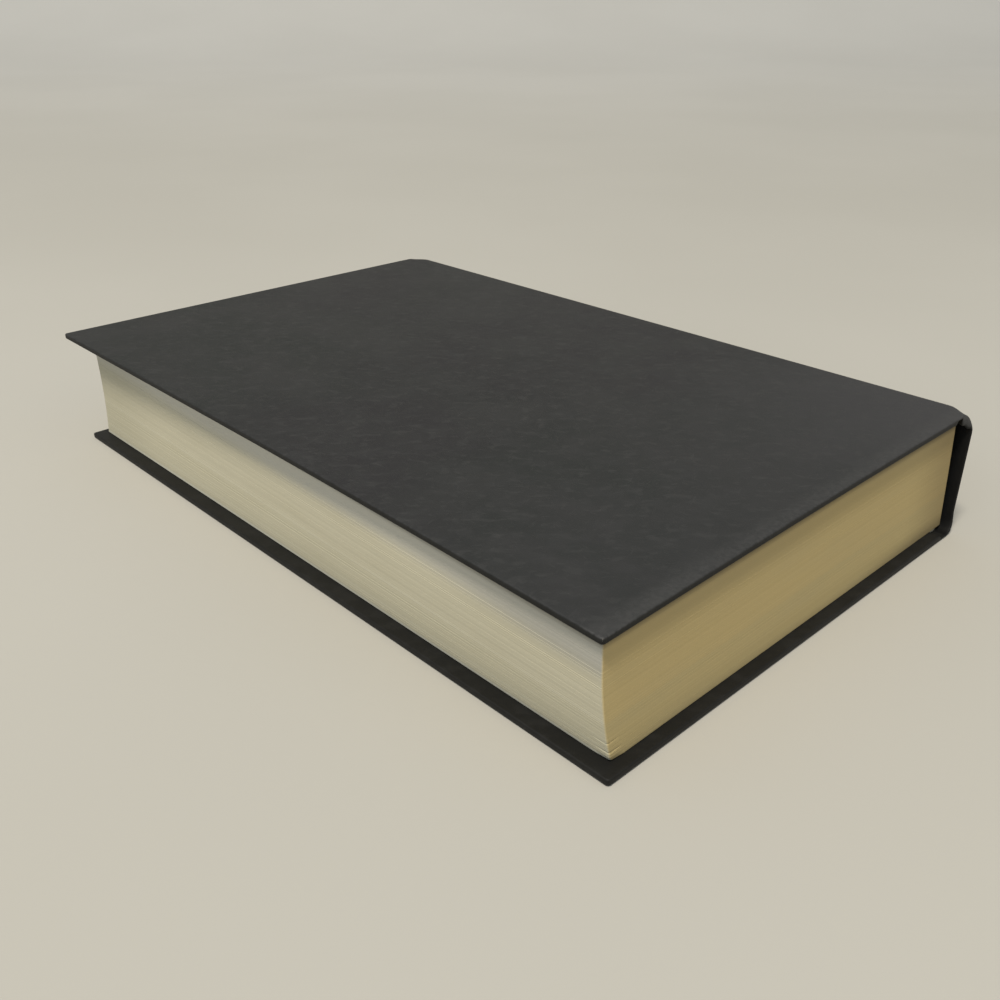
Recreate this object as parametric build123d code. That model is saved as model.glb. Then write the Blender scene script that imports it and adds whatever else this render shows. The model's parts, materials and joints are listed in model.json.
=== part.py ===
from build123d import *
import os

# Hardback book, closed and lying on its back cover, in millimetres.
# X runs from the spine to the fore-edge, Y from the tail to the head, Z up.
# The origin is at the middle of the closed book's underside.

# Block of pages, trimmed to the demy octavo leaf
leaf_width = 135.0
leaf_height = 216.0
block_thickness = 31.4
back_round = 0.2  # bulge of the block's back
fore_hollow_tail = 0.6  # hollow of its fore-edge at the tail, which the rounded back leaves
fore_bulge_head = 1.2  # bulge of its fore-edge at the head, where the block is twisted
block_lean_head = 4.1  # slant of a read book: top leaf pushed to the fore-edge, at the head
block_lean_tail = -0.4  # the same at the tail, where it goes a little to the spine
lining_thickness = 0.2  # cloth and paper glued to the block's back
lining_setback = 0.5  # lining's ends to the block's head and tail
glue_line = 0.1  # lining to the block's back

# Case, made to the block
head_square = 3.0  # how far the covers stand past the block at head and tail
fore_edge_square = 4.0  # how far they stand past its fore-edge
board_thickness = 1.2
board_arris = 0.2  # rounding of a board's cut edges
board_corner = 0.5  # rounding of a board's two outer corners, seen from above
least_rim = 0.4  # flat rim that the rounding leaves on a cut edge
covering_thickness = 0.2  # one layer of the covering sheet
turn_in = 15.0  # how far the sheet is folded over inside
inlay_thickness = 0.4  # card strip in the spine
inlay_margin = 0.3  # inlay's long edges to the bends of the spine
joint_width = 7.7  # spine's outer face to the spine edge of the back board
hinge_setback = 2.5  # board's spine edge to the line that its cover turns about
crease_depth = 0.2  # how far the sheet lies below the cover's face in the joint
crease_gap = 0.1  # division of the sheet at the line that a cover turns about
pastedown_thickness = 0.12
pastedown_setback = 0.5  # pastedown's edges inside those of the leaves
turn_in_print = 0.6  # width of the step where the turn-in shows through the pastedown
block_clearance = 0.08  # pastedown to the block
hollow_gap = 0.1  # least gap in the hollow back, inside the spine's turn-in

# Wear
block_slip = 0.7  # block pushed towards the head in the case
corner_sag = 1.2  # leaves pressed down at the corner of head and fore-edge
sag_start = 0.4  # share of the leaf's width that stays level
cover_lean = 2.1  # front cover pushed towards the fore-edge
cover_slip = 1.4  # front cover pushed towards the tail
spine_bend = 1.8  # bend of the sheet into the spine along most of its length
front_cap_bend = 6.0  # the same at the crushed head and tail of the spine, front side
back_cap_bend = 4.6  # the same, back side
cap_run = 5.5  # length over which the spine's crushed ends fade out
least_flap = 0.4  # flat stretch that a bend leaves beside the hinge line

# Sizes that follow
cover_thickness = board_thickness + 2 * covering_thickness
cover_build = cover_thickness + pastedown_thickness + block_clearance
book_thickness = block_thickness + 2 * cover_build
case_height = leaf_height + 2 * head_square
half_height = case_height / 2
spine_wall = inlay_thickness + 2 * covering_thickness
back_reach = back_round + max(0.0, -block_lean_head, -block_lean_tail)
block_inset = spine_wall + hollow_gap + lining_thickness + glue_line + back_reach
case_width = block_inset + leaf_width + fore_edge_square
spine_x = -(case_width + cover_lean) / 2
block_x = spine_x + block_inset
board_x = spine_x + joint_width
hinge_x = board_x - hinge_setback
fore_edge_x = spine_x + case_width
block_bottom = cover_build
block_top = book_thickness - cover_build
joint_low = crease_depth
joint_high = book_thickness - crease_depth
back_flap = hinge_x - crease_gap - spine_x
front_flap = back_flap + cover_lean


def span(x, y, z):
    """Box over three (low, high) ranges."""
    size = [high - low for low, high in (x, y, z)]
    middle = [(high + low) / 2 for low, high in (x, y, z)]
    return Pos(*middle) * Box(*size)


def across(y):
    """Plane square to the spine at height y of the book."""
    return Plane(origin=(0, y, 0), x_dir=(1, 0, 0), z_dir=(0, -1, 0))


def ends(length):
    """The two stretches of the book's height, at tail and head, that are length long."""
    return [(-half_height, length - half_height), (half_height - length, half_height)]


# Text block: two slanted sections, head and tail, joined by ruled faces


def block_section(y, lean, sag, bulge):
    """Section of the block at height y, its top leaf pushed over by lean and down by sag at the fore-edge.

    The fore-edge stands out by bulge at half its thickness, or is hollow where bulge is negative.
    """
    back_low = (block_x, block_bottom)
    back_high = (block_x + lean, block_top)
    back_middle = (block_x + lean / 2 - back_round, (block_bottom + block_top) / 2)
    level_end = (block_x + lean + leaf_width * sag_start, block_top)
    fore_top = block_top - sag
    fore_low = (block_x + leaf_width, block_bottom)
    fore_high = (block_x + leaf_width + lean, fore_top)
    fore_middle = (block_x + leaf_width + lean / 2 + bulge, (block_bottom + fore_top) / 2)
    outline = [
        Line(back_low, fore_low),
        ThreePointArc(fore_low, fore_middle, fore_high),
        Line(fore_high, level_end),
        Line(level_end, back_high),
        ThreePointArc(back_high, back_middle, back_low),
    ]
    return across(y) * make_face(outline)


def text_block():
    tail = block_section(block_slip - leaf_height / 2, block_lean_tail, 0, -fore_hollow_tail)
    head = block_section(block_slip + leaf_height / 2, block_lean_head, corner_sag, fore_bulge_head)
    return loft([tail, head], ruled=True)


# Lining: the strip that the block's back sweeps when it moves out by one thickness


def spine_lining(block):
    reach = leaf_height / 2 - lining_setback
    level_x = block_x + leaf_width * sag_start / 2
    kept = span((spine_x, level_x), (block_slip - reach, block_slip + reach), (0, book_thickness))
    inner = Pos(-glue_line, 0, 0) * block
    outer = Pos(-glue_line - lining_thickness, 0, 0) * block
    return (outer - inner) & kept


# Back cover, from its outer face at Z 0 upwards


def rounded_slab(inset, low, high, corner, arris):
    """Slab of a cover's plan, inset on its three outer sides, with rounded corners and edges.

    The edges' rounding leaves a flat rim between them, whatever the slab's thickness.
    """
    x = (board_x, fore_edge_x - inset)
    y = (inset - half_height, half_height - inset)
    slab = span(x, y, (low, high))
    corners = slab.edges().filter_by(Axis.Z).group_by(Axis.X)[-1]
    slab = fillet(corners, corner)
    faces = slab.faces().sort_by(Axis.Z)
    rims = faces[0].edges() + faces[-1].edges()
    outer_rims = [edge for edge in rims if edge.center().X > board_x + arris]
    return fillet(outer_rims, min(arris, (high - low - least_rim) / 2))


def back_board():
    low = covering_thickness
    return rounded_slab(covering_thickness, low, low + board_thickness, board_corner, board_arris)


def turn_in_window(inset, low, high):
    """The part of a cover's inside that the turn-ins leave free, less an inset, between two levels."""
    x = (board_x, fore_edge_x - turn_in - inset)
    reach = half_height - turn_in - inset
    return span(x, (-reach, reach), (low, high))


def back_covering():
    corner = board_corner + covering_thickness
    arris = board_arris + covering_thickness
    wrap = rounded_slab(0, 0, cover_thickness, corner, arris) - back_board()
    wrap -= turn_in_window(0, cover_thickness - covering_thickness, cover_thickness)
    joint_strip = span((hinge_x, board_x), (-half_height, half_height), (0, covering_thickness))
    return wrap + joint_strip


def back_pastedown():
    face = cover_thickness + pastedown_thickness
    x = (board_x, fore_edge_x - fore_edge_square - pastedown_setback)
    reach = leaf_height / 2 - pastedown_setback
    sheet = span(x, (-reach, reach), (cover_thickness, face))
    sheet += turn_in_window(0, cover_thickness - covering_thickness, cover_thickness)
    return sheet - turn_in_window(turn_in_print, face - covering_thickness, face)


def to_front(piece):
    """The same piece of the front cover: upside down on top, pushed over by the lean and the slip."""
    return Pos(cover_lean, -cover_slip / 2, book_thickness) * mirror(piece, about=Plane.XY)


def to_back(piece):
    return Pos(0, cover_slip / 2, 0) * piece


# Spine of the case


def bends(y):
    """Radii of the sheet's bends, front and back, at height y of the spine."""
    share = max(0.0, (abs(y) - half_height + cap_run) / cap_run)
    front_cap = min(front_cap_bend, front_flap - least_flap)
    back_cap = min(back_cap_bend, back_flap - least_flap)
    return spine_bend + (front_cap - spine_bend) * share, spine_bend + (back_cap - spine_bend) * share


def spine_section(y):
    """Section of the sheet at height y: joint, bend, spine, bend, joint."""
    front, back = bends(y)
    sheet = covering_thickness
    outer = FilletPolyline(
        (spine_x + front_flap, joint_high),
        (spine_x, joint_high),
        (spine_x, joint_low),
        (spine_x + back_flap, joint_low),
        radius=[front, back],
    )
    inner = FilletPolyline(
        (spine_x + back_flap, joint_low + sheet),
        (spine_x + sheet, joint_low + sheet),
        (spine_x + sheet, joint_high - sheet),
        (spine_x + front_flap, joint_high - sheet),
        radius=[back - sheet, front - sheet],
    )
    closing = [Line(outer @ 1, inner @ 0), Line(inner @ 1, outer @ 0)]
    return across(y) * make_face([outer, inner, *closing])


def spine_plate(low_x, high_x, reach):
    """Flat plate of the spine's straight part, tapered with the bends, up to a reach from the middle."""
    stations = [-reach, cap_run - half_height, half_height - cap_run, reach]
    low_side = [(y, joint_low + bends(y)[1] + inlay_margin) for y in stations]
    high_side = [(y, joint_high - bends(y)[0] - inlay_margin) for y in stations]
    outline = Polyline(*low_side, *reversed(high_side), close=True)
    plane = Plane(origin=(low_x, 0, 0), x_dir=(0, 1, 0), z_dir=(1, 0, 0))
    return extrude(plane * make_face(outline), high_x - low_x)


def spine_inlay():
    outer = spine_x + covering_thickness
    return spine_plate(outer, outer + inlay_thickness, half_height - covering_thickness)


def spine_covering():
    stations = [-half_height, cap_run - half_height, half_height - cap_run, half_height]
    sheet = loft([spine_section(y) for y in stations], ruled=True)
    inner = spine_x + spine_wall
    whole_book = (0, book_thickness)
    folded = spine_plate(inner - covering_thickness, inner, half_height)
    edge = spine_plate(spine_x + covering_thickness / 2, inner, half_height)
    for stretch in ends(turn_in):
        sheet += folded & span((spine_x, inner), stretch, whole_book)
    for stretch in ends(covering_thickness):
        sheet += edge & span((spine_x, inner), stretch, whole_book)
    return sheet


block = text_block()

pieces = {
    "text_block": block,
    "spine_lining": spine_lining(block),
    "spine_inlay": spine_inlay(),
    "spine_covering": spine_covering(),
    "back_board": to_back(back_board()),
    "back_covering": to_back(back_covering()),
    "back_pastedown": to_back(back_pastedown()),
    "front_board": to_front(back_board()),
    "front_covering": to_front(back_covering()),
    "front_pastedown": to_front(back_pastedown()),
}

os.makedirs("parts", exist_ok=True)
for name, piece in pieces.items():
    export_step(piece, f"parts/{name}.step")

hinges = {
    "front": (hinge_x + cover_lean, book_thickness),
    "back": (hinge_x, 0.0),
}
for side, (x, z) in hinges.items():
    print(f"{side} cover turns about X {x:.3f}, Z {z:.3f}")
print(f"case {case_width:.2f} by {case_height:.2f} by {book_thickness:.2f}")
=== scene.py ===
import json
import math

import bpy
import numpy as np
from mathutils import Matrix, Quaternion, Vector


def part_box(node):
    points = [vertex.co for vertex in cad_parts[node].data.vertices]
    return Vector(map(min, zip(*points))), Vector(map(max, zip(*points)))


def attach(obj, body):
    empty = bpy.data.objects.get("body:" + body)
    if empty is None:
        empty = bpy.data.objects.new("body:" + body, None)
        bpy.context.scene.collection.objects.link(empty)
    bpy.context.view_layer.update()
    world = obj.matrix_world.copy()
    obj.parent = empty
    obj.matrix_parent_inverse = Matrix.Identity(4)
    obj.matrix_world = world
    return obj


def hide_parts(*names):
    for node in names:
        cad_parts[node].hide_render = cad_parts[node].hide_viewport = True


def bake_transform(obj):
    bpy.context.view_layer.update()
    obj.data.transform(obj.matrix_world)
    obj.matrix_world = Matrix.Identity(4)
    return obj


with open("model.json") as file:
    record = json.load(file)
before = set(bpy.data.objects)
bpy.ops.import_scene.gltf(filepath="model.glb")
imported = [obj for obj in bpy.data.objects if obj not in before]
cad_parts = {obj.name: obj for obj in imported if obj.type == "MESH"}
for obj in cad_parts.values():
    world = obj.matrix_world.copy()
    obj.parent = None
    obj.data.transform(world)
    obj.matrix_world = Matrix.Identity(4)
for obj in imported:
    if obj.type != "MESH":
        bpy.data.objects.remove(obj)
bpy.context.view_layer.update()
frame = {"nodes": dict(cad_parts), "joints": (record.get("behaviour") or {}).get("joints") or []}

MM = 0.001

# Case, in millimetres
corner_radius = 0.8  # outer corners of a cover, seen from above
arris_radius = 0.4  # edges of a cover
sheet = 0.2  # covering sheet
fold_depth = 0.5  # doubled sheet in the joint
fold_slope = 0.9  # run of the doubled sheet up to the board's inner face
turn_in = 15.0
joint_dip = 0.06  # sheet below the cover's face in the joint
cap_run = 6.0  # length over which the spine's crushed ends fade out
spine_bend = 1.8
front_cap_bend = 6.0
back_cap_bend = 4.2
spine_wall = 0.8  # inlay between two layers of the sheet
head_lip = 2.4  # how far the crushed sheet is turned down at the head of the front bend
lip_run = 5.0  # distance from the head at which this lip ends
lip_full = 1.0  # distance from the head up to which it is full
lip_bend = (0.15, 0.75)  # upward share of the bend's normal over which it sets in
lip_from_seam = (-0.2, 0.9)  # distances from the front seam over which it sets in
slip_run = 6.0  # height over which the spine's sheet follows a slipped cover
hinge_reach = 0.8  # half the width that bends when a cover turns
seam_gap = 0.8  # seam between spine and cover sheet, from the hinge line
endpaper_sheet = 0.1
gutter_sheet = 0.02  # endpaper where it bends in the joint
gutter_gap = 0.04  # endpaper in the joint to the sheet and the board
gutter_margin = 0.5  # its ends to the block's head and tail
gutter_overlap = 0.3  # how far it runs onto the pastedown
gutter_lap = 0.4  # how far it runs onto the block's end leaf
gutter_front_lay = 0.04  # it to the front end leaf
gutter_back_lay = 0.02  # it to the back end leaf
gutter_paste_lay = 0.01  # it to the pastedown
gutter_lead = 1.2  # how far before the turn-ins it is lifted clear of them
gutter_rise = 2.3  # length over which it is lifted
gutter_slope = 1.44  # its run over the turn-ins, up to the board's inner face
gutter_parts = (6, 16, 4, 4)  # divisions of its stretches: to the joint, along it, up the board, over it
edge_row = 0.02  # row of points beside a sheet's cut edge
print_step = 0.8  # width of the step where the turn-ins show through the pastedown

# Warp of the front cover: a slight lift at the fore-edge, and its head corner bent down
front_lift = 0.33
corner_droop = 1.62
droop_start_y = -20.0
droop_run = 130.0

# Rub of the covering
edge_rub = 0.16  # along a cover's edges
corner_rub = 0.84  # more of it at a corner
corner_rub_reach = 2.5  # distance over which a corner's rub fades out, in millimetres
rim_rub_row = 3.5  # row of the rim's profile that is rubbed most
rim_rub_rows = 2.0  # rows over which this fades out
end_rub = 0.5  # at the head and tail of the spine
end_rub_run = 1.5  # length over which this fades out, in millimetres
bend_rub = 0.2  # along the spine's bends

# Painted shade of the covering: its faces darken into its edges and turn-ins, and darker still inside the
# spine's folds
rim_shade_rows = (1, 8)  # rows of the rim's profile
fold_shade_flat = 0.45  # how far the face's colour reaches into the spine's fold on its front side, before the painted shade sets in
fold_shade_lip = 0.3  # the same on the crushed lip, further still
fold_shade_run = 0.5

# Pages, in millimetres
leaf_groups = 112
section_groups = 7  # leaf groups in one section
group_spread = (0.6, 1.4)  # thinnest and thickest group, as shares of the mean
group_shift = 0.01  # how unevenly the leaves are trimmed at the fore-edge
section_shift = 0.012
groove_depth = 0.004
groove_share = 0.16  # groove's width, as a share of a group's thickness
ripples = ((0.35, 5.0), (0.2, 13.0))  # height as a share of group_shift, and radians per side
edge_nick = 0.3  # rounding of the block's upright corners
nick_levels = ((0.165, 0.22), (0.08, 0.28))  # share of the thickness, depth
nick_run = 0.006  # share of the thickness that a nick takes up
nick_way = (0.7, 0.7, 0.0)  # way of a nick, from the corner of fore-edge and head into the block
tip_blunt = 0.45  # bottom leaves' corner, bent in
tip_run = 0.04  # share of the thickness over which this fades out

# Sizes read from the frame
front_low, front_high = [np.array(v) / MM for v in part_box("front_covering")]
back_low, back_high = [np.array(v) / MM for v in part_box("back_covering")]
spine_low, spine_high = [np.array(v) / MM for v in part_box("spine_covering")]
front_board_low, front_board_high = [np.array(v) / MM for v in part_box("front_board")]
back_board_low, _ = [np.array(v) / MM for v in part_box("back_board")]
front_paste_low, front_paste_high = [np.array(v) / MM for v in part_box("front_pastedown")]
back_paste_low, back_paste_high = [np.array(v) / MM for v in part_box("back_pastedown")]
hinges = {joint["name"]: np.array(joint["pos_m"]) / MM for joint in frame["joints"]}
front_hinge = hinges["front_cover_hinge"]
back_hinge = hinges["back_cover_hinge"]
cover_thickness = front_high[2] - front_low[2]
seed = 7
random_numbers = np.random.default_rng(seed)


def smooth(value, low, high):
    """0 below low, 1 above high, and an easy curve between them."""
    share = np.clip((value - low) / (high - low), 0.0, 1.0)
    return share * share * (3 - 2 * share)


def front_warp(x, y):
    """How far the worn front cover stands above its flat place."""
    out = min(max((x - front_board_low[0]) / (front_high[0] - front_board_low[0]), 0.0), 1.0)
    up = min(max((y - droop_start_y) / droop_run, 0.0), 1.0)
    return front_lift * out - corner_droop * out ** 2 * up ** 2


def no_warp(x, y):
    return 0.0


def make_mesh(name, points, faces, attributes=None, flat=False):
    """Mesh object from points in millimetres, with named point attributes."""
    mesh = bpy.data.meshes.new(name)
    mesh.from_pydata((np.asarray(points) * MM).tolist(), [], faces)
    mesh.validate()
    mesh.update()
    piece = bpy.data.objects.new(name, mesh)
    bpy.context.scene.collection.objects.link(piece)
    for label, values in (attributes or {}).items():
        layer = mesh.attributes.new(label, "FLOAT", "POINT")
        layer.data.foreach_set("value", np.asarray(values, np.float32))
    mesh.polygons.foreach_set("use_smooth", [not flat] * len(mesh.polygons))
    return piece


def keep_rest(piece):
    """Stores where each point lies at rest, so that a finish doesn't slide when the piece bends."""
    mesh = piece.data
    places = np.zeros(len(mesh.vertices) * 3, np.float32)
    mesh.vertices.foreach_get("co", places)
    layer = mesh.attributes.new("rest", "FLOAT_VECTOR", "POINT")
    layer.data.foreach_set("vector", places)


def weld_and_thicken(piece, thickness):
    """Joins points that fall together, then gives the sheet its thickness inwards."""
    weld = piece.modifiers.new("weld", "WELD")
    weld.merge_threshold = 2e-6
    solid = piece.modifiers.new("solid", "SOLIDIFY")
    solid.thickness = thickness * MM
    solid.offset = -1.0
    solid.use_even_offset = True
    shape = piece.evaluated_get(bpy.context.evaluated_depsgraph_get())
    piece.data = bpy.data.meshes.new_from_object(shape)
    piece.modifiers.clear()


def grid_faces(rows, columns, flip=False):
    """Quads of a grid of points stored row by row."""
    quads = []
    for i in range(rows - 1):
        for j in range(columns - 1):
            a = i * columns + j
            quad = (a, a + 1, a + columns + 1, a + columns)
            quads.append(quad[::-1] if flip else quad)
    return quads


def spaced(stops):
    """Positions through (place, step) stops, each stretch divided about by its step."""
    places = [stops[0][0]]
    for (low, step), (high, _) in zip(stops, stops[1:]):
        count = max(1, round(abs(high - low) / step))
        places.extend(np.linspace(low, high, count + 1)[1:])
    return np.array(places)


def edged(places, first=True, last=True):
    """The same places with one more close to either end, which keeps a cut edge from shading the face."""
    head = [places[0] + edge_row] if first else []
    tail = [places[-1] - edge_row] if last else []
    return np.concatenate([places[:1], head, places[1:-1], tail, places[-1:]])


# Covering of a cover: flat face, rounded rim and turn-ins, one sheet


def rim_profile(thickness):
    """(how far out, how deep) points round a cover's edge, from its face to the end of the turn-in."""
    radius = min(arris_radius, thickness / 2 - 0.002)
    quarter = np.radians(np.linspace(0, 90, 7))
    centre = corner_radius - radius
    over = [(centre + radius * math.sin(a), radius - radius * math.cos(a)) for a in quarter]
    side = [(corner_radius, thickness / 2)]
    under = [(centre + radius * math.cos(a), thickness - radius + radius * math.sin(a)) for a in quarter]
    inside = [(out, thickness) for out in (0.0, -2.0, -6.0, corner_radius - turn_in)]
    return over + side + under + inside


def cover_wrap(name, low, high, board_x, hinge, outer_z, inward, warp):
    """The sheet over one cover, from the seam in its joint to the turn-ins.

    outer_z is the cover's face, and inward is the way from it into the book, -1 or 1.
    """
    seam_x = hinge[0] - seam_gap
    face_x = high[0] - corner_radius
    face_y = (high[1] - low[1]) / 2 - corner_radius
    middle_y = (high[1] + low[1]) / 2
    xs = edged(spaced([(seam_x, 0.3), (board_x + 1.5, 2.0), (face_x, 1.0)]), last=False)
    ys = spaced([(-face_y, 1.5), (12 - face_y, 3.0), (face_y - 12, 1.5), (face_y, 1.0)])

    def place(x, y, depth):
        dip = joint_dip * (1 - smooth(x, seam_x + 1.0, board_x + 0.8))
        shifted_y = y + middle_y
        return (x, shifted_y, outer_z + inward * (depth + dip) + warp(x, shifted_y))

    points = [place(x, y, 0.0) for y in ys for x in xs]
    rub = [0.0] * len(points)
    face = [1.0] * len(points)
    faces = grid_faces(len(ys), len(xs), flip=inward > 0)

    turn = np.radians(np.linspace(0, 90, 7))
    last_x, last_y = len(xs) - 1, len(ys) - 1
    rim = [(last_y * len(xs) + j, 0.0, 1.0) for j in range(len(xs))]
    rim += [(last_y * len(xs) + last_x, math.sin(a), math.cos(a)) for a in turn]
    rim += [(i * len(xs) + last_x, 1.0, 0.0) for i in range(last_y, -1, -1)]
    rim += [(last_x, math.cos(a), -math.sin(a)) for a in turn]
    rim += [(j, 0.0, -1.0) for j in range(last_x, -1, -1)]
    face_places = [(x, y) for y in ys for x in xs]

    profiles = []
    for base, _, _ in rim:
        thin = smooth(face_places[base][0], board_x - fold_slope, board_x)
        profiles.append(rim_profile(fold_depth + (cover_thickness - fold_depth) * thin))
    ring = [base for base, _, _ in rim]
    for k in range(len(profiles[0])):
        start = len(points)
        for (base, out_x, out_y), profile in zip(rim, profiles):
            x, y = face_places[base]
            out, depth = profile[k]
            if out >= 0:
                x, y = x + out * out_x, y + out * out_y
            else:
                x = seam_x + (x - seam_x) * (face_x + out - seam_x) / (face_x - seam_x)
                y = y * (face_y + out) / face_y
            points.append(place(x, y, depth))
            worn = math.exp(-((k - rim_rub_row) / rim_rub_rows) ** 2)
            from_corner = math.hypot(face_x - x, face_y - abs(y))
            rub.append(worn * (edge_rub + corner_rub * math.exp(-from_corner / corner_rub_reach)))
            # face: 1 on the face, falling to 0 on the rim and turn-in, which take the painted shade
            face.append(float(1 - smooth(k, *rim_shade_rows)))
        new_ring = list(range(start, len(points)))
        for a, b, c, d in zip(ring, ring[1:], new_ring[1:], new_ring):
            corners = list(dict.fromkeys((a, b, c, d)))
            faces.append(corners[::-1] if inward > 0 else corners)
        ring = new_ring
    piece = make_mesh(name, points, faces, {"rub": rub, "face": face})
    weld_and_thicken(piece, sheet)
    keep_rest(piece)
    return piece, seam_x


def cover_board(name, low, high, warp):
    """The board inside a cover, bent as the cover is."""
    inset = 0.02
    xs = np.linspace(low[0] + inset, high[0] - inset, 40)
    ys = np.linspace(low[1] + inset, high[1] - inset, 60)
    points = [(x, y, high[2] - inset + warp(x, y)) for y in ys for x in xs]
    piece = make_mesh(name, points, grid_faces(len(ys), len(xs)), flat=True)
    weld_and_thicken(piece, high[2] - low[2] - 2 * inset)
    return piece


def pastedown(name, low, high, cover_low, cover_high, inward, warp):
    """Endpaper leaf glued inside a cover, with the turn-ins standing out under it.

    inward is the way from the cover into the book, -1 or 1.
    """
    leaf_z = low[2] if inward < 0 else high[2]
    window_x = cover_high[0] - turn_in
    window_y = (cover_low[1] + turn_in, cover_high[1] - turn_in)
    step = print_step / 8
    reach = print_step / 2
    xs = edged(spaced([(low[0], 4.0), (window_x - reach, step), (window_x + reach, 2.0), (high[0], 1.0)]))
    stops = [(low[1], 2.0), (window_y[0] - reach, step), (window_y[0] + reach, 4.0)]
    stops += [(window_y[1] - reach, step), (window_y[1] + reach, 2.0), (high[1], 1.0)]
    ys = edged(spaced(stops))
    points = []
    for y in ys:
        for x in xs:
            sunk_x = 1 - smooth(x, window_x - reach, window_x + reach)
            sunk_y = smooth(y, window_y[0] - reach, window_y[0] + reach)
            sunk_y *= 1 - smooth(y, window_y[1] - reach, window_y[1] + reach)
            points.append((x, y, leaf_z - inward * sheet * sunk_x * sunk_y + warp(x, y)))
    piece = make_mesh(name, points, grid_faces(len(ys), len(xs), flip=inward < 0))
    weld_and_thicken(piece, endpaper_sheet)
    keep_rest(piece)
    return piece


# Covering of the spine


def spine_wrap(name, front_seam, back_seam):
    """The sheet round the spine between the two seams, folded in at head and tail."""
    edge_x = spine_low[0]
    top, bottom = front_high[2] - joint_dip, back_low[2] + joint_dip
    half = spine_high[1]
    fold_radius = 0.45
    front_slip = (front_low[1] + front_high[1]) / 2
    back_slip = (back_low[1] + back_high[1]) / 2

    def slip(z):
        """How far the sheet is drawn along the spine by the covers, which have slipped apart."""
        at_back = back_slip * (1 - smooth(z, bottom, bottom + slip_run))
        return at_back + front_slip * smooth(z, top - slip_run, top)

    def section(y):
        """(x, z, normal x, normal z) points from the front seam round the spine to the back seam."""
        crush = smooth(abs(y), half - cap_run, half)
        front = spine_bend + (front_cap_bend - spine_bend) * crush
        back = spine_bend + (back_cap_bend - spine_bend) * crush
        quarter = np.radians(np.linspace(0, 90, 11))
        flap = np.array([0.0, 0.004, 0.25, 0.5, 0.75])
        line = [(front_seam + (edge_x + front - front_seam) * s, top, 0.0, 1.0) for s in flap]
        for a in quarter:
            normal = (-math.sin(a), math.cos(a))
            line.append((edge_x + front + front * normal[0], top - front + front * normal[1], *normal))
        for s in np.linspace(0, 1, 15)[1:-1]:
            line.append((edge_x, top - front + (bottom + back - top + front) * s, -1.0, 0.0))
        for a in quarter:
            normal = (-math.cos(a), -math.sin(a))
            line.append((edge_x + back + back * normal[0], bottom + back + back * normal[1], *normal))
        back_start = edge_x + back
        for s in 1 - flap[::-1]:
            line.append((back_start + (back_seam - edge_x - back) * s, bottom, 0.0, -1.0))
        return line

    # Rows run from one turn-in's end over the fold, along the outside and over the other fold
    fold = np.radians(np.linspace(0, 180, 9))
    insets = (turn_in, 10.0, 5.0, 2.0)
    edge = half - fold_radius
    stops = [(-edge, 0.6), (4 - half, 1.2), (16 - half, 6.0)]
    stops += [(half - 16, 1.2), (half - 4, 0.6), (edge, 1.0)]
    ys = spaced(stops)
    rows = [(inset - half, 1.0) for inset in insets]
    rows += [(-edge - fold_radius * math.sin(a), (1 + math.cos(a)) / 2) for a in fold]
    rows += [(y, 0.0) for y in ys[1:-1]]
    rows += [(edge + fold_radius * math.sin(a), (1 - math.cos(a)) / 2) for a in fold]
    rows += [(half - inset, 1.0) for inset in insets[::-1]]

    points, rub, face = [], [], []
    for y, depth in rows:
        at_head = smooth(y, half - lip_run, half - lip_full)
        for x, z, normal_x, normal_z in section(y):
            flat = smooth(-normal_x, 0.5, 1.0)
            wall = fold_depth + (spine_wall - fold_depth) * flat
            crushed = at_head * smooth(normal_z, *lip_bend) * smooth(front_seam - x, *lip_from_seam)
            depth_z = normal_z * wall + head_lip * crushed
            points.append((x - normal_x * wall * depth, y + slip(z), z - depth_z * depth))
            end_wear = end_rub * smooth(abs(y), half - end_rub_run, half) * (1 - depth)
            bend_wear = bend_rub * (1 - depth) * (1 - normal_x ** 4) * (1 - normal_z ** 4)
            rub.append(max(end_wear, bend_wear))
            # face falls to -1 on the turned-in sheet, which takes a near-black painted shade inside the fold
            upper = fold_shade_flat * max(normal_z, 0.0) + fold_shade_lip * crushed
            face.append(1 - 2 * smooth(depth, upper, upper + fold_shade_run))
    columns = len(section(0.0))
    piece = make_mesh(name, points, grid_faces(len(rows), columns, flip=True), {"rub": rub, "face": face})
    weld_and_thicken(piece, sheet)
    keep_rest(piece)
    return piece


# Pages


def furthest(values):
    """The value furthest from 0, with its sign."""
    return values[np.argmax(abs(values))]


def block_shape():
    """Corners and curves of the page block, read from its solid."""
    edge_reach = 6.0
    level_with = 0.01
    tilt = 0.2  # tells the top's two corners from its other points
    mesh = frame["nodes"]["text_block"].data
    places = np.zeros(len(mesh.vertices) * 3)
    mesh.vertices.foreach_get("co", places)
    places = places.reshape(-1, 3) / MM
    low, high = places.min(0), places.max(0)
    ends = {}
    for label, y in (("tail", low[1]), ("head", high[1])):
        at_end = places[abs(places[:, 1] - y) < level_with]
        x, z = at_end[:, 0], at_end[:, 2]
        under = x[abs(z - low[2]) < level_with]
        fore_top = at_end[np.argmax(tilt * x + z)]
        back_top = at_end[np.argmax(z - tilt * x)]
        level_end = x[abs(z - high[2]) < level_with].max()
        end = {
            "back": under.min(),
            "fore": under.max(),
            "back_lean": back_top[0] - under.min(),
            "fore_lean": fore_top[0] - under.max(),
            "sag": high[2] - fore_top[2],
            "level": (level_end - back_top[0]) / (fore_top[0] - back_top[0]),
        }
        fore_share = (z - low[2]) / (fore_top[2] - low[2])
        back_share = (z - low[2]) / (high[2] - low[2])
        fore_bow = end["fore"] + end["fore_lean"] * fore_share - x
        back_bow = end["back"] + end["back_lean"] * back_share - x
        end["fore_bow"] = furthest(fore_bow[x > end["fore"] - edge_reach])
        end["back_bow"] = furthest(back_bow[x < end["back"] + edge_reach])
        ends[label] = end
    return low, high, ends


block_low, block_high, block_ends = block_shape()


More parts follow.
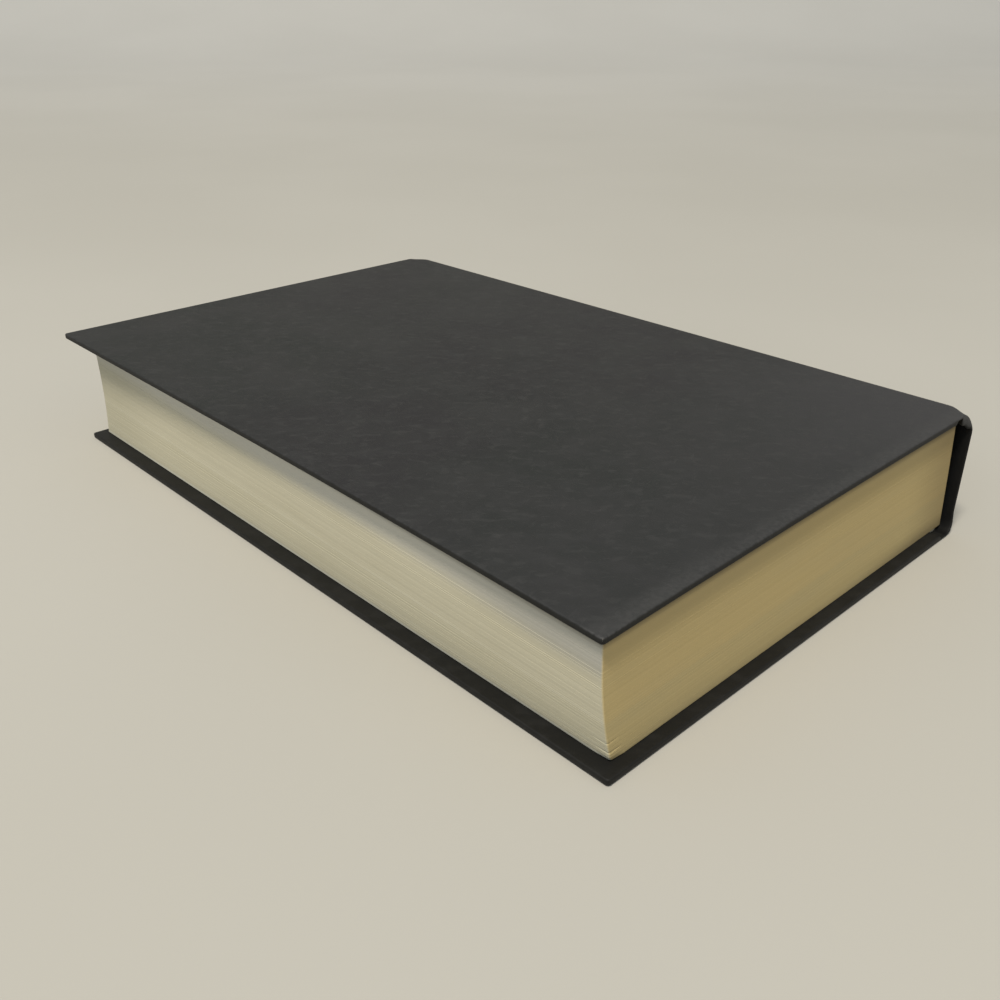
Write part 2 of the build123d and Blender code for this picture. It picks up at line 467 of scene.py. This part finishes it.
def block_edge_x(side, along, level):
    """X of the back or fore-edge at a share along tail to head and at a level from 0 to 1."""
    values = []
    for label in ("tail", "head"):
        end = block_ends[label]
        bow = end[side + "_bow"] * 4 * level * (1 - level)
        values.append(end[side] + end[side + "_lean"] * level - bow)
    return values[0] + (values[1] - values[0]) * along


def block_point(along, across, level):
    """Point of the block at shares along tail to head, across fore-edge to back, and up."""
    fore = block_edge_x("fore", along, level)
    back = block_edge_x("back", along, level)
    level_share = 1 - block_ends["head"]["level"]
    sag = block_ends["head"]["sag"] * along * max(0.0, 1 - across / level_share)
    x = fore + (back - fore) * across
    y = block_low[1] + (block_high[1] - block_low[1]) * along
    z = block_low[2] + (block_high[2] - block_low[2] - sag) * level
    return np.array((x, y, z))


def page_levels(numbers):
    """(level, group, depth of groove) for the layers of leaves, from the lowest to the highest."""
    thick = numbers.uniform(*group_spread, leaf_groups)
    stops = np.concatenate([[0], np.cumsum(thick)]) / thick.sum()
    levels = []
    for g in range(leaf_groups):
        thin = (stops[g + 1] - stops[g]) * groove_share
        levels.append((stops[g], g, groove_depth))
        levels.append((stops[g] + thin, g, 0.0))
        levels.append((stops[g + 1] - thin, g, 0.0))
    levels.append((1.0, leaf_groups - 1, groove_depth))
    return levels


def page_block(name):
    """The leaves as thin uneven layers, in the form of the solid, with smooth end leaves."""
    numbers = random_numbers
    levels = page_levels(numbers)
    sections = numbers.normal(0, section_shift, leaf_groups // section_groups + 1)
    group_out = numbers.normal(0, group_shift, leaf_groups)
    group_out += np.repeat(sections, section_groups)[:leaf_groups]
    wave = numbers.uniform(0, 2 * math.pi, (leaf_groups, 2))
    shade = numbers.uniform(0, 1, leaf_groups)

    nick_along = edge_nick / (block_high[1] - block_low[1])
    nick_across = edge_nick / (block_ends["head"]["fore"] - block_ends["head"]["back"])
    along = np.concatenate([[nick_along], np.linspace(0, 1, 56)[1:-1], [1 - nick_along]])
    across = np.concatenate([[nick_across], np.linspace(0, 1, 36)[1:-1], [1 - nick_across]])
    columns = [("fore", s, 0.0) for s in along]
    columns += [("head", 1.0, s) for s in across]
    columns += [("back", s, 1.0) for s in along[::-1]]
    columns += [("tail", 0.0, s) for s in across[::-1]]
    outward = {"fore": (1.0, 0.0, 0), "head": (0.0, 0.5, 0), "back": (0, 0, 0), "tail": (0, -0.5, 0)}
    near_corner = (len(along) - 1, len(along))

    points, tone, leaf, height, inner = [], [], [], [], []
    for level, g, groove in levels:
        notch = sum(depth * math.exp(-((level - at) / nick_run) ** 2) for at, depth in nick_levels)
        notch += tip_blunt * (1 - smooth(level, 0.0, tip_run))
        for j, (side, s, c) in enumerate(columns):
            run = s if side in ("fore", "back") else c
            ripple = sum(h * math.sin(wave[g, i] + turns * run) for i, (h, turns) in enumerate(ripples))
            out = group_out[g] + group_shift * ripple - groove
            point = block_point(s, c, level) + np.array(outward[side]) * out
            if j in near_corner:
                point -= np.array(nick_way) * notch
            points.append(point)
            tone.append(1.0 if side in ("head", "tail") else 0.0)
            leaf.append(shade[g])
            height.append(level)
            inner.append(c)
    count = len(columns)
    faces = []
    for i in range(len(levels) - 1):
        for j in range(count):
            k = (j + 1) % count
            faces.append((i * count + j, i * count + k, (i + 1) * count + k, (i + 1) * count + j))

    # End leaves, as grids between the lowest and the highest ring
    n_along, n_across = len(along), len(across)
    for first, level, flip in ((0, 0.0, True), ((len(levels) - 1) * count, 1.0, False)):
        head = [first + n_along + j for j in range(n_across)]
        tail = [first + count - 1 - j for j in range(n_across)]
        rows = []
        for i, s in enumerate(along):
            row = [first + i]
            for c in across:
                row.append(len(points))
                points.append(block_point(s, c, level))
                tone.append(0.0)
                leaf.append(0.5)
                height.append(-1.0)
                inner.append(0.0)
            row.append(first + 2 * n_along + n_across - 1 - i)
            rows.append(row)
        cap = []
        for low_row, high_row in zip(rows, rows[1:]):
            for a, b, c, d in zip(low_row, low_row[1:], high_row[1:], high_row):
                cap.append((a, d, c, b))
        last_row, first_row = rows[-1][1:-1], rows[0][1:-1]
        for edge, beside, turn in ((head, last_row, False), (tail, first_row, True)):
            for a, b, c, d in zip(beside, beside[1:], edge[1:], edge):
                cap.append((a, b, c, d) if turn else (a, d, c, b))
        cap.append((rows[-1][0], head[0], rows[-1][1]))
        cap.append((rows[-1][-2], head[-1], rows[-1][-1]))
        cap.append((rows[0][1], tail[0], rows[0][0]))
        cap.append((rows[0][-1], tail[-1], rows[0][-2]))
        faces += [f[::-1] for f in cap] if flip else cap
    attributes = {"tone": tone, "leaf": leaf, "height": height, "inner": inner}
    piece = make_mesh(name, points, faces, attributes, flat=True)
    keep_rest(piece)
    return piece


def gutter(name, hinge, block_place, leaf_place, board_x, face_z, inward):
    """Endpaper from the block's end leaf into the joint, along the sheet and up the board to the pastedown.

    Places are (x, z). face_z is the sheet's outer face in the joint, and inward is the way into the book.
    """
    turn_x = hinge[0] - hinge_reach
    half = (block_high[1] - block_low[1]) / 2 - gutter_margin
    middle = (block_high[1] + block_low[1]) / 2
    fold_start = spine_high[1] - turn_in - middle
    ys = edged(spaced([(-half, 0.5), (-fold_start + 4, 8.0), (fold_start - 4, 0.5), (half, 1.0)]))
    points = []
    for y in ys:
        folded = smooth(abs(y), fold_start - gutter_lead - gutter_rise, fold_start - gutter_lead)
        layer = sheet + (fold_depth - sheet) * folded + gutter_gap
        joint_z = face_z + inward * layer
        edge_x = board_x - gutter_gap - gutter_slope * folded
        corners = [block_place, (turn_x, joint_z), (edge_x, joint_z), (edge_x, leaf_place[1]), leaf_place]
        for (low_x, low_z), (high_x, high_z), count in zip(corners, corners[1:], gutter_parts):
            for s in np.arange(count) / count:
                points.append((low_x + (high_x - low_x) * s, y + middle, low_z + (high_z - low_z) * s))
        points.append((leaf_place[0], y + middle, leaf_place[1]))
    columns = len(points) // len(ys)
    piece = make_mesh(name, points, grid_faces(len(ys), columns, flip=inward < 0))
    weld_and_thicken(piece, gutter_sheet)
    keep_rest(piece)
    return piece


# Materials


class Graph:
    """Node tree of a new material, with short ways to add nodes and links."""

    def __init__(self, name):
        self.material = bpy.data.materials.new(name)
        self.material.use_nodes = True
        self.tree = self.material.node_tree
        self.shader = self.tree.nodes["Principled BSDF"]

    def add(self, kind, settings=None, **inputs):
        node = self.tree.nodes.new(kind)
        for key, value in (settings or {}).items():
            setattr(node, key, value)
        for key, value in inputs.items():
            self.feed(node, key.replace("_", " "), value)
        return node

    def feed(self, node, socket, value):
        target = node.inputs[socket]
        if isinstance(value, bpy.types.NodeSocket):
            self.tree.links.new(value, target)
        else:
            target.default_value = value

    def math(self, operation, first, second=0.0):
        node = self.tree.nodes.new("ShaderNodeMath")
        node.operation = operation
        self.feed(node, 0, first)
        self.feed(node, 1, second)
        return node.outputs[0]

    def times(self, first, second):
        return self.math("MULTIPLY", first, second)

    def mix(self, factor, first, second):
        node = self.tree.nodes.new("ShaderNodeMix")
        node.data_type = "RGBA"
        self.feed(node, 0, factor)
        self.feed(node, 6, first)
        self.feed(node, 7, second)
        return node.outputs[2]

    def attribute(self, label, output="Fac"):
        return self.add("ShaderNodeAttribute", {"attribute_name": label}).outputs[output]

    def stretched(self, source, scale, turn=0.0):
        """The place turned about Z, then scaled, so that a pattern runs along the turned X."""
        turned = self.add("ShaderNodeMapping", Vector=source, Rotation=(0.0, 0.0, -turn)).outputs[0]
        return self.add("ShaderNodeMapping", Vector=turned, Scale=scale).outputs[0]

    def noise(self, source, scale, detail=2.0, roughness=0.5):
        node = self.add("ShaderNodeTexNoise", Vector=source, Scale=scale, Detail=detail, Roughness=roughness)
        return node.outputs[0]

    def parts(self, source):
        """The X, Y and Z of a vector."""
        return self.add("ShaderNodeSeparateXYZ", Vector=source).outputs

    def ramp(self, value, low, high):
        """0 up to low and 1 from high on. With low above high it falls instead."""
        node = self.add("ShaderNodeMapRange", {"interpolation_type": "SMOOTHSTEP"}, Value=value)
        node.inputs[1].default_value = min(low, high)
        node.inputs[2].default_value = max(low, high)
        if low > high:
            node.inputs[3].default_value = 1.0
            node.inputs[4].default_value = 0.0
        return node.outputs[0]

    def band(self, value, middle, half_width):
        """1 at the middle, falling to 0 at half_width to either side."""
        away = self.math("ABSOLUTE", self.math("SUBTRACT", value, middle))
        return self.ramp(away, half_width, 0.0)

    def bump(self, height, distance, strength=1.0, normal=None):
        node = self.add("ShaderNodeBump", Height=height, Distance=distance, Strength=strength)
        if normal is not None:
            self.feed(node, "Normal", normal)
        return node.outputs[0]

    def finish(self, **inputs):
        for key, value in inputs.items():
            self.feed(self.shader, key.replace("_", " "), value)
        return self.material


def grey(value):
    return (value, value, value, 1.0)


def covering_material():
    """Matt charcoal paper with pale flecks and soft mottle, painted shade on its edges and turn-ins, and
    painted sheen towards the head and spine.
    """
    g = Graph("covering")
    place = g.attribute("rest", "Vector")
    x, y, _ = g.parts(place)
    face = g.attribute("face")
    fibres = None
    for angle in (0.35, 1.6, 2.5):
        lines = g.noise(g.stretched(place, (260, 900, 700), angle), 1.0, 3.0, 0.55)
        mask = g.ramp(lines, 0.6, 0.76)
        fibres = mask if fibres is None else g.math("MAXIMUM", fibres, mask)
    hue = g.noise(place, 11.0, 2.0, 0.5)
    cloud = g.noise(place, 40.0, 4.0, 0.65)
    mottle = g.noise(g.stretched(place, (170, 300, 240), 2.38), 1.0, 3.0, 0.6)
    fleck = g.ramp(g.noise(g.stretched(place, (260, 480, 400), 2.38), 1.0, 2.0, 0.5), 0.55, 0.68)
    patchy = g.ramp(g.noise(place, 900.0, 3.0, 0.6), 0.35, 0.7)
    colour = g.mix(g.ramp(hue, 0.38, 0.62), (0.0184, 0.0181, 0.0198, 1), (0.017, 0.0189, 0.0187, 1))
    colour = g.mix(g.ramp(cloud, 0.35, 0.65), colour, (0.0222, 0.0229, 0.0234, 1))
    colour = g.mix(g.times(g.ramp(mottle, 0.45, 0.65), 0.45), colour, (0.0288, 0.0294, 0.0303, 1))
    # Painted sheen: the faces lighter towards the head, and lighter still towards the spine.
    head_side_sheen = g.ramp(y, 0.02, 0.112)
    colour = g.mix(g.times(head_side_sheen, 0.25), colour, (0.0335, 0.0335, 0.0355, 1))
    spine_side_sheen = g.times(head_side_sheen, g.ramp(x, 0.01, -0.066))
    colour = g.mix(g.times(spine_side_sheen, 0.55), colour, (0.0435, 0.043, 0.0465, 1))
    worn = g.math("ADD", g.times(patchy, 0.35), g.math("ADD", g.times(g.ramp(x, 0.03, 0.06), 0.2), 0.15))
    colour = g.mix(g.times(g.ramp(y, 0.1045, 0.109), worn), colour, grey(0.05))
    colour = g.mix(g.times(fleck, 0.4), colour, (0.0365, 0.037, 0.0372, 1))
    colour = g.mix(g.times(fibres, 0.2), colour, (0.05, 0.051, 0.051, 1))
    # Painted shade: edges and turn-ins darker than the faces, where shade falls on them.
    edge_shade_colour = g.mix(g.ramp(mottle, 0.4, 0.7), (0.0085, 0.0085, 0.0079, 1), (0.0125, 0.0125, 0.0118, 1))
    colour = g.mix(face, edge_shade_colour, colour)
    rub = g.times(g.attribute("rub"), patchy)
    colour = g.mix(g.times(rub, 0.55), colour, grey(0.1))
    # Painted shade: near black inside the spine's folds.
    colour = g.mix(g.times(g.ramp(face, 0.0, -1.0), 0.75), colour, (0.0025, 0.0026, 0.003, 1))
    normal = g.bump(g.noise(place, 2600.0, 3.0, 0.6), 0.00004, 0.6)
    normal = g.bump(fibres, 0.00003, 0.5, normal)
    rough = g.math("ADD", g.times(mottle, 0.16), 0.5)
    return g.finish(Base_Color=colour, Roughness=rough, Normal=normal, Specular_IOR_Level=0.18)


paper_light = (0.6, 0.565, 0.46, 1)
paper_dark = (0.54, 0.5, 0.395, 1)


def clouded_paper(g, place):
    """Colour of the endpapers, with faint clouds."""
    cloud = g.noise(place, 60.0, 5.0, 0.65)
    return g.mix(g.ramp(cloud, 0.3, 0.75), paper_light, paper_dark)


def pages_material():
    """Trimmed paper edges: cream fore-edge, browned head and tail, faint leaf lines and a few sections."""
    g = Graph("pages")
    place = g.attribute("rest", "Vector")
    _, y, _ = g.parts(place)
    leaf = g.attribute("leaf")
    tone = g.attribute("tone")
    height = g.attribute("height")
    inner = g.attribute("inner")
    fore = g.math("SUBTRACT", 1.0, tone)
    lines = g.noise(g.stretched(place, (18, 18, 9000)), 1.0, 2.0, 0.7)
    patches = g.noise(g.stretched(place, (30, 30, 160)), 1.0, 3.0, 0.55)
    cream = g.mix(leaf, (0.462, 0.428, 0.318, 1), (0.49, 0.454, 0.34, 1))
    tan = g.mix(leaf, (0.455, 0.353, 0.165, 1), (0.48, 0.375, 0.18, 1))
    colour = g.mix(tone, cream, tan)
    colour = g.mix(g.times(g.ramp(lines, 0.35, 0.75), 0.06), colour, (0.3, 0.25, 0.15, 1))
    colour = g.mix(g.times(g.ramp(patches, 0.4, 0.8), 0.14), colour, (0.34, 0.3, 0.19, 1))
    lower = g.math("ADD", g.times(tone, 0.08), 0.08)
    colour = g.mix(g.times(g.ramp(height, 0.345, 0.33), lower), colour, (0.3, 0.285, 0.17, 1))
    pale = (0.62, 0.595, 0.48, 1)
    colour = g.mix(g.times(g.times(g.band(height, 0.352, 0.012), fore), 0.25), colour, pale)
    colour = g.mix(g.times(g.times(g.band(height, 0.1, 0.012), fore), 0.2), colour, pale)
    colour = g.mix(g.times(g.ramp(height, 0.03, 0.012), g.times(fore, 0.5)), colour, (0.58, 0.57, 0.51, 1))
    # Greyer upper leaves on the fore-edge: partly dust, partly painted shade under the cover's overhang.
    dust_and_shade = g.times(g.ramp(height, 0.68, 0.84), g.times(fore, 0.45))
    colour = g.mix(dust_and_shade, colour, (0.475, 0.465, 0.445, 1))
    # Painted shade: a darker band under the cover towards the head corner.
    shade_near_head = g.times(g.times(g.band(height, 0.79, 0.18), g.ramp(y, 0.05, 0.1)), g.times(fore, 0.45))
    colour = g.mix(shade_near_head, colour, (0.2, 0.2, 0.19, 1))
    # Painted shade: the fore-edge darker towards the tail.
    tail_end_shade = g.times(g.ramp(y, -0.06, -0.105), g.times(fore, 0.3))
    colour = g.mix(tail_end_shade, colour, (0.25, 0.235, 0.17, 1))
    # Painted shade: the head and tail darker beside the spine.
    shade_by_spine = g.times(g.ramp(inner, 0.82, 1.0), g.times(tone, 0.4))
    colour = g.mix(shade_by_spine, colour, (0.15, 0.105, 0.05, 1))
    # Painted shade: the lowest leaves of the head and tail darker near the spine.
    shade_at_foot = g.times(g.times(g.ramp(height, 0.16, 0.02), g.ramp(inner, 0.6, 0.95)), g.times(tone, 0.4))
    colour = g.mix(shade_at_foot, colour, (0.1, 0.08, 0.045, 1))
    browned = g.times(g.ramp(height, 0.7, 0.88), g.times(tone, 0.16))
    colour = g.mix(browned, colour, (0.17, 0.125, 0.075, 1))
    # Painted shade: the topmost leaves dark where the gap under the front cover is in shadow; it shows when
    # the cover is open too.
    colour = g.mix(g.times(g.ramp(height, 0.9, 0.97), 0.7), colour, (0.07, 0.06, 0.042, 1))
    colour = g.mix(g.ramp(height, -0.2, -0.8), colour, clouded_paper(g, place))
    normal = g.bump(lines, 0.00006, 0.1)
    return g.finish(Base_Color=colour, Roughness=0.85, Normal=normal, Specular_IOR_Level=0.2)


def endpaper_material():
    """Uncoated endpaper with faint clouds and fibres."""
    g = Graph("endpaper")
    place = g.attribute("rest", "Vector")
    fibre = g.noise(g.stretched(place, (500, 1800, 900), 0.6), 1.0, 3.0, 0.6)
    colour = clouded_paper(g, place)
    colour = g.mix(g.times(g.ramp(fibre, 0.6, 0.8), 0.2), colour, paper_dark)
    normal = g.bump(g.noise(place, 2200.0, 3.0, 0.6), 0.00004, 0.5)
    return g.finish(Base_Color=colour, Roughness=0.8, Normal=normal, Specular_IOR_Level=0.25)


def board_material():
    """Grey board: pressed waste paper with dark and pale specks."""
    g = Graph("board")
    place = g.add("ShaderNodeTexCoord").outputs["Object"]
    cloud = g.noise(place, 120.0, 5.0, 0.7)
    speck = g.ramp(g.noise(place, 1500.0, 2.0, 0.6), 0.62, 0.72)
    layers = g.noise(g.stretched(place, (60, 60, 4000)), 1.0, 2.0, 0.6)
    colour = g.mix(g.ramp(cloud, 0.3, 0.7), (0.24, 0.22, 0.19, 1), (0.34, 0.315, 0.275, 1))
    colour = g.mix(g.times(speck, 0.6), colour, (0.1, 0.095, 0.09, 1))
    normal = g.bump(layers, 0.0001, 0.6)
    return g.finish(Base_Color=colour, Roughness=0.9, Normal=normal)


def weave_material(name, low, high, pitch):
    """Open cloth or card with a crossed thread pattern of the given pitch in millimetres."""
    g = Graph(name)
    place = g.add("ShaderNodeTexCoord").outputs["Object"]
    threads = []
    for direction in ("Y", "Z"):
        wave = g.add(
            "ShaderNodeTexWave",
            {"bands_direction": direction},
            Vector=place,
            Scale=math.pi / 10 / (pitch * MM),
            Distortion=1.5,
        )
        threads.append(wave.outputs[1])
    weave = g.math("MAXIMUM", threads[0], threads[1])
    colour = g.mix(weave, low, high)
    normal = g.bump(weave, 0.0001, 0.6)
    return g.finish(Base_Color=colour, Roughness=0.9, Normal=normal)


def floor_material(away):
    """Pale plain floor, paler the way of away, towards the backdrop, which is further from the lamps."""
    g = Graph("floor")
    place = g.add("ShaderNodeTexCoord").outputs["Object"]
    cloud = g.noise(place, 3.0, 3.0, 0.5)
    near = g.mix(g.ramp(cloud, 0.3, 0.7), (0.41, 0.395, 0.355, 1), (0.43, 0.415, 0.375, 1))
    far = g.mix(g.ramp(cloud, 0.3, 0.7), (0.58, 0.563, 0.523, 1), (0.6, 0.583, 0.543, 1))
    along = g.add("ShaderNodeVectorMath", {"operation": "DOT_PRODUCT"})
    g.feed(along, 0, place)
    g.feed(along, 1, away)
    colour = g.mix(g.ramp(along.outputs["Value"], *floor_paler), near, far)
    return g.finish(Base_Color=colour, Roughness=0.9, Specular_IOR_Level=0.1)


def dress(piece, material):
    piece.data.materials.clear()
    piece.data.materials.append(material)


def bend_at(piece):
    """Bakes a piece's place into its points; nothing here lets it bend."""
    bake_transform(piece)


# Pieces

covering = covering_material()
endpaper = endpaper_material()
board = board_material()

front_sheet, front_seam = cover_wrap(
    "front_cover_sheet", front_low, front_high, front_board_low[0], front_hinge, front_high[2], -1, front_warp
)
back_sheet, back_seam = cover_wrap(
    "back_cover_sheet", back_low, back_high, back_board_low[0], back_hinge, back_low[2], 1, no_warp
)
for piece, body, hinge, node in (
    (front_sheet, "front_cover", front_hinge, "front_covering"),
    (back_sheet, "back_cover", back_hinge, "back_covering"),
):
    dress(piece, covering)
    bend_at(piece)
    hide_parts(node)

spine = spine_wrap("spine_sheet", front_seam, back_seam)
dress(spine, covering)
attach(spine, "book_block")
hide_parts("spine_covering")

leaves = page_block("leaves")
dress(leaves, pages_material())
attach(leaves, "book_block")
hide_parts("text_block")

bent_board = cover_board("front_cover_board", front_board_low, front_board_high, front_warp)
dress(bent_board, board)
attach(bent_board, "front_cover")
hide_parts("front_board")

front_leaf = pastedown(
    "front_inner_leaf", front_paste_low, front_paste_high, front_low, front_high, -1, front_warp
)
back_leaf = pastedown("back_inner_leaf", back_paste_low, back_paste_high, back_low, back_high, 1, no_warp)
for piece, body, node in (
    (front_leaf, "front_cover", "front_pastedown"),
    (back_leaf, "back_cover", "back_pastedown"),
):
    dress(piece, endpaper)
    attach(piece, body)
    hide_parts(node)

head_end = block_ends["head"]
front_gutter = gutter(
    "front_gutter",
    front_hinge,
    (head_end["back"] + head_end["back_lean"] + gutter_lap, block_high[2] + gutter_front_lay),
    (front_paste_low[0] + gutter_overlap, front_paste_low[2] - gutter_paste_lay),
    front_board_low[0],
    front_high[2] - joint_dip,
    -1,
)
back_gutter = gutter(
    "back_gutter",
    back_hinge,
    (head_end["back"] + gutter_lap, block_low[2] - gutter_back_lay),
    (back_paste_low[0] + gutter_overlap, back_paste_high[2] + gutter_paste_lay),
    back_board_low[0],
    back_low[2] + joint_dip,
    1,
)
for piece, body, hinge in (
    (front_gutter, "front_cover", front_hinge),
    (back_gutter, "back_cover", back_hinge),
):
    dress(piece, endpaper)
    bend_at(piece)

dress(frame["nodes"]["back_board"], board)
inlay_card = weave_material("inlay_card", (0.33, 0.27, 0.2, 1), (0.4, 0.33, 0.25, 1), 0.5)
lining = weave_material("lining", (0.2, 0.17, 0.11, 1), (0.3, 0.26, 0.17, 1), 1.2)
dress(frame["nodes"]["spine_inlay"], inlay_card)
dress(frame["nodes"]["spine_lining"], lining)

# Floor, light and camera

camera_eye = Vector((0.18089, 0.20068, 0.13320))
camera_target = Vector((0.02729, 0.03832, 0.01750))
camera_roll = -0.0021
focal_pixels = 1009.6
image_pixels = 1000.0
sensor_mm = 36.0
lamp_target = Vector((0, 0, 0.02))
lamps = (  # name, place, size, power, colour
    ("ceiling", (1.47, 0.6, 3.12), 0.75, 120.0, (1.0, 0.93, 0.81)),
    ("window", (2.7, 0.3, 1.3), 1.8, 15.0, (0.9, 0.96, 1.0)),
    ("room", (-0.15, 2.75, 1.25), 2.0, 9.0, (1.0, 0.9, 0.74)),
)
world_colour = (0.82, 0.91, 1.0, 1.0)
world_strength = 0.46
seen_backdrop = (0.45, 0.45, 0.435, 1.0)
floor_paler = (0.3, 1.9)  # distances behind the book, in metres, over which the floor gets paler

scene = bpy.context.scene
scene.view_settings.view_transform = "Standard"


def make_floor():
    """Floor that runs up into a backdrop behind the book, away from the camera."""
    front, reach, bend, top = -3.0, 1.6, 1.2, 2.5
    half_width = 5.0
    floor_drop = 0.0001  # below the book, so that an opened back cover's face shows cleanly
    profile = [(front, 0.0), (reach, 0.0)]
    for angle in np.radians(np.linspace(0, 90, 13))[1:]:
        profile.append((reach + bend * math.sin(angle), bend - bend * math.cos(angle)))
    profile.append((reach + bend, top))
    view = camera_target - camera_eye
    away = Vector((view.x, view.y, 0)).normalized()
    aside = Vector((-away.y, away.x, 0))
    points = []
    for along, up in profile:
        for side in (-half_width, half_width):
            points.append(away * along + aside * side + Vector((0, 0, up - floor_drop)))
    mesh = bpy.data.meshes.new("floor")
    mesh.from_pydata(points, [], grid_faces(len(profile), 2, flip=True))
    mesh.polygons.foreach_set("use_smooth", [True] * len(mesh.polygons))
    piece = bpy.data.objects.new("floor", mesh)
    scene.collection.objects.link(piece)
    dress(piece, floor_material(away))


def area_light(name, place, size, power, colour):
    """Round lamp that faces the book."""
    data = bpy.data.lights.new(name, "AREA")
    data.shape = "DISK"
    data.size = size
    data.energy = power
    data.color = colour
    lamp = bpy.data.objects.new(name, data)
    scene.collection.objects.link(lamp)
    lamp.location = place
    lamp.rotation_mode = "QUATERNION"
    lamp.rotation_quaternion = (lamp_target - Vector(place)).to_track_quat("-Z", "Y")


def world_light(colour, strength, backdrop):
    """Even light from all round. The camera and reflections see the backdrop's colour there instead."""
    world = bpy.data.worlds.new("studio")
    scene.world = world
    world.use_nodes = True
    nodes, links = world.node_tree.nodes, world.node_tree.links
    light = nodes["Background"]
    light.inputs["Color"].default_value = colour
    light.inputs["Strength"].default_value = strength
    seen = nodes.new("ShaderNodeBackground")
    seen.inputs["Color"].default_value = backdrop
    path = nodes.new("ShaderNodeLightPath")
    rays = path.outputs["Is Camera Ray"]
    for kind in ("Is Glossy Ray", "Is Transmission Ray"):
        either = nodes.new("ShaderNodeMath")
        either.operation = "MAXIMUM"
        links.new(rays, either.inputs[0])
        links.new(path.outputs[kind], either.inputs[1])
        rays = either.outputs[0]
    mix = nodes.new("ShaderNodeMixShader")
    links.new(rays, mix.inputs[0])
    links.new(light.outputs[0], mix.inputs[1])
    links.new(seen.outputs[0], mix.inputs[2])
    links.new(mix.outputs[0], nodes["World Output"].inputs["Surface"])


def make_camera():
    data = bpy.data.cameras.new("camera")
    data.sensor_width = sensor_mm
    data.lens = focal_pixels / image_pixels * sensor_mm
    data.clip_start = 0.01
    camera = bpy.data.objects.new("camera", data)
    scene.collection.objects.link(camera)
    camera.location = camera_eye
    camera.rotation_mode = "QUATERNION"
    aim = (camera_target - camera_eye).to_track_quat("-Z", "Y")
    camera.rotation_quaternion = aim @ Quaternion((0, 0, 1), camera_roll)
    scene.camera = camera


make_floor()
world_light(world_colour, world_strength, seen_backdrop)
for lamp_values in lamps:
    area_light(*lamp_values)
make_camera()
